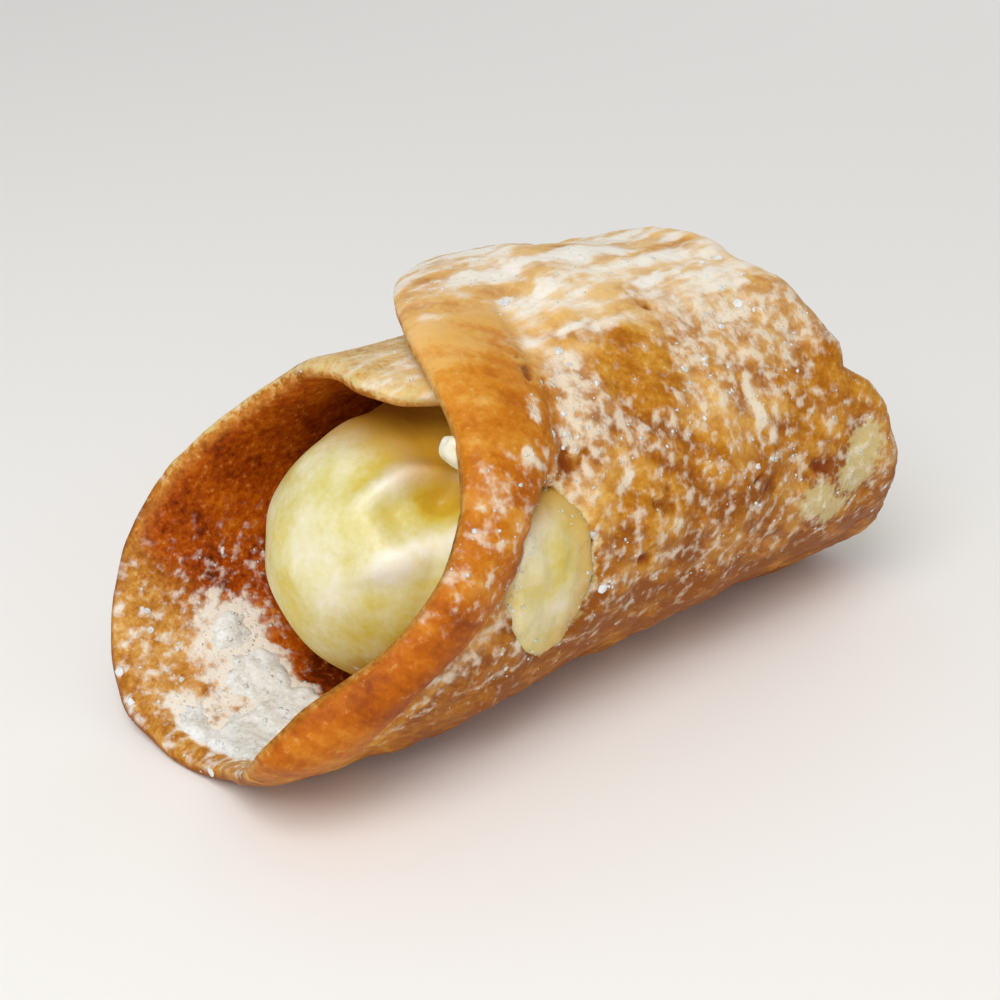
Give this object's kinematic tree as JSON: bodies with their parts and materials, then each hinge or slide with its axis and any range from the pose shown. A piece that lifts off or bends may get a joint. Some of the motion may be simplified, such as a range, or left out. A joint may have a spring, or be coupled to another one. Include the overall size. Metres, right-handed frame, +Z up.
{
  "type": "cannoli",
  "caption": "Short fried pastry tube rolled from a sheet of dough, with a scooped front lip and a split side, filled with pale pastry cream and dusted with sugar.",
  "frame": {"origin": "middle of the narrow flat that the tube rests on, under its axis", "axes": "+X along the tube's axis from the scooped front mouth to the rear one, +Z up, the overlapping seam on top towards +Y"},
  "size_m": [0.0865, 0.0442, 0.0446],
  "materials": {
    "fried_pastry": "golden brown fried dough, blistered and dry, dusted with powdered sugar",
    "pastry_cream": "pale yellow pastry cream, soft and slightly glossy"
  },
  "bodies": {
    "root": {"shell": "fried_pastry", "cream": "pastry_cream"}
  },
  "joints": []
}
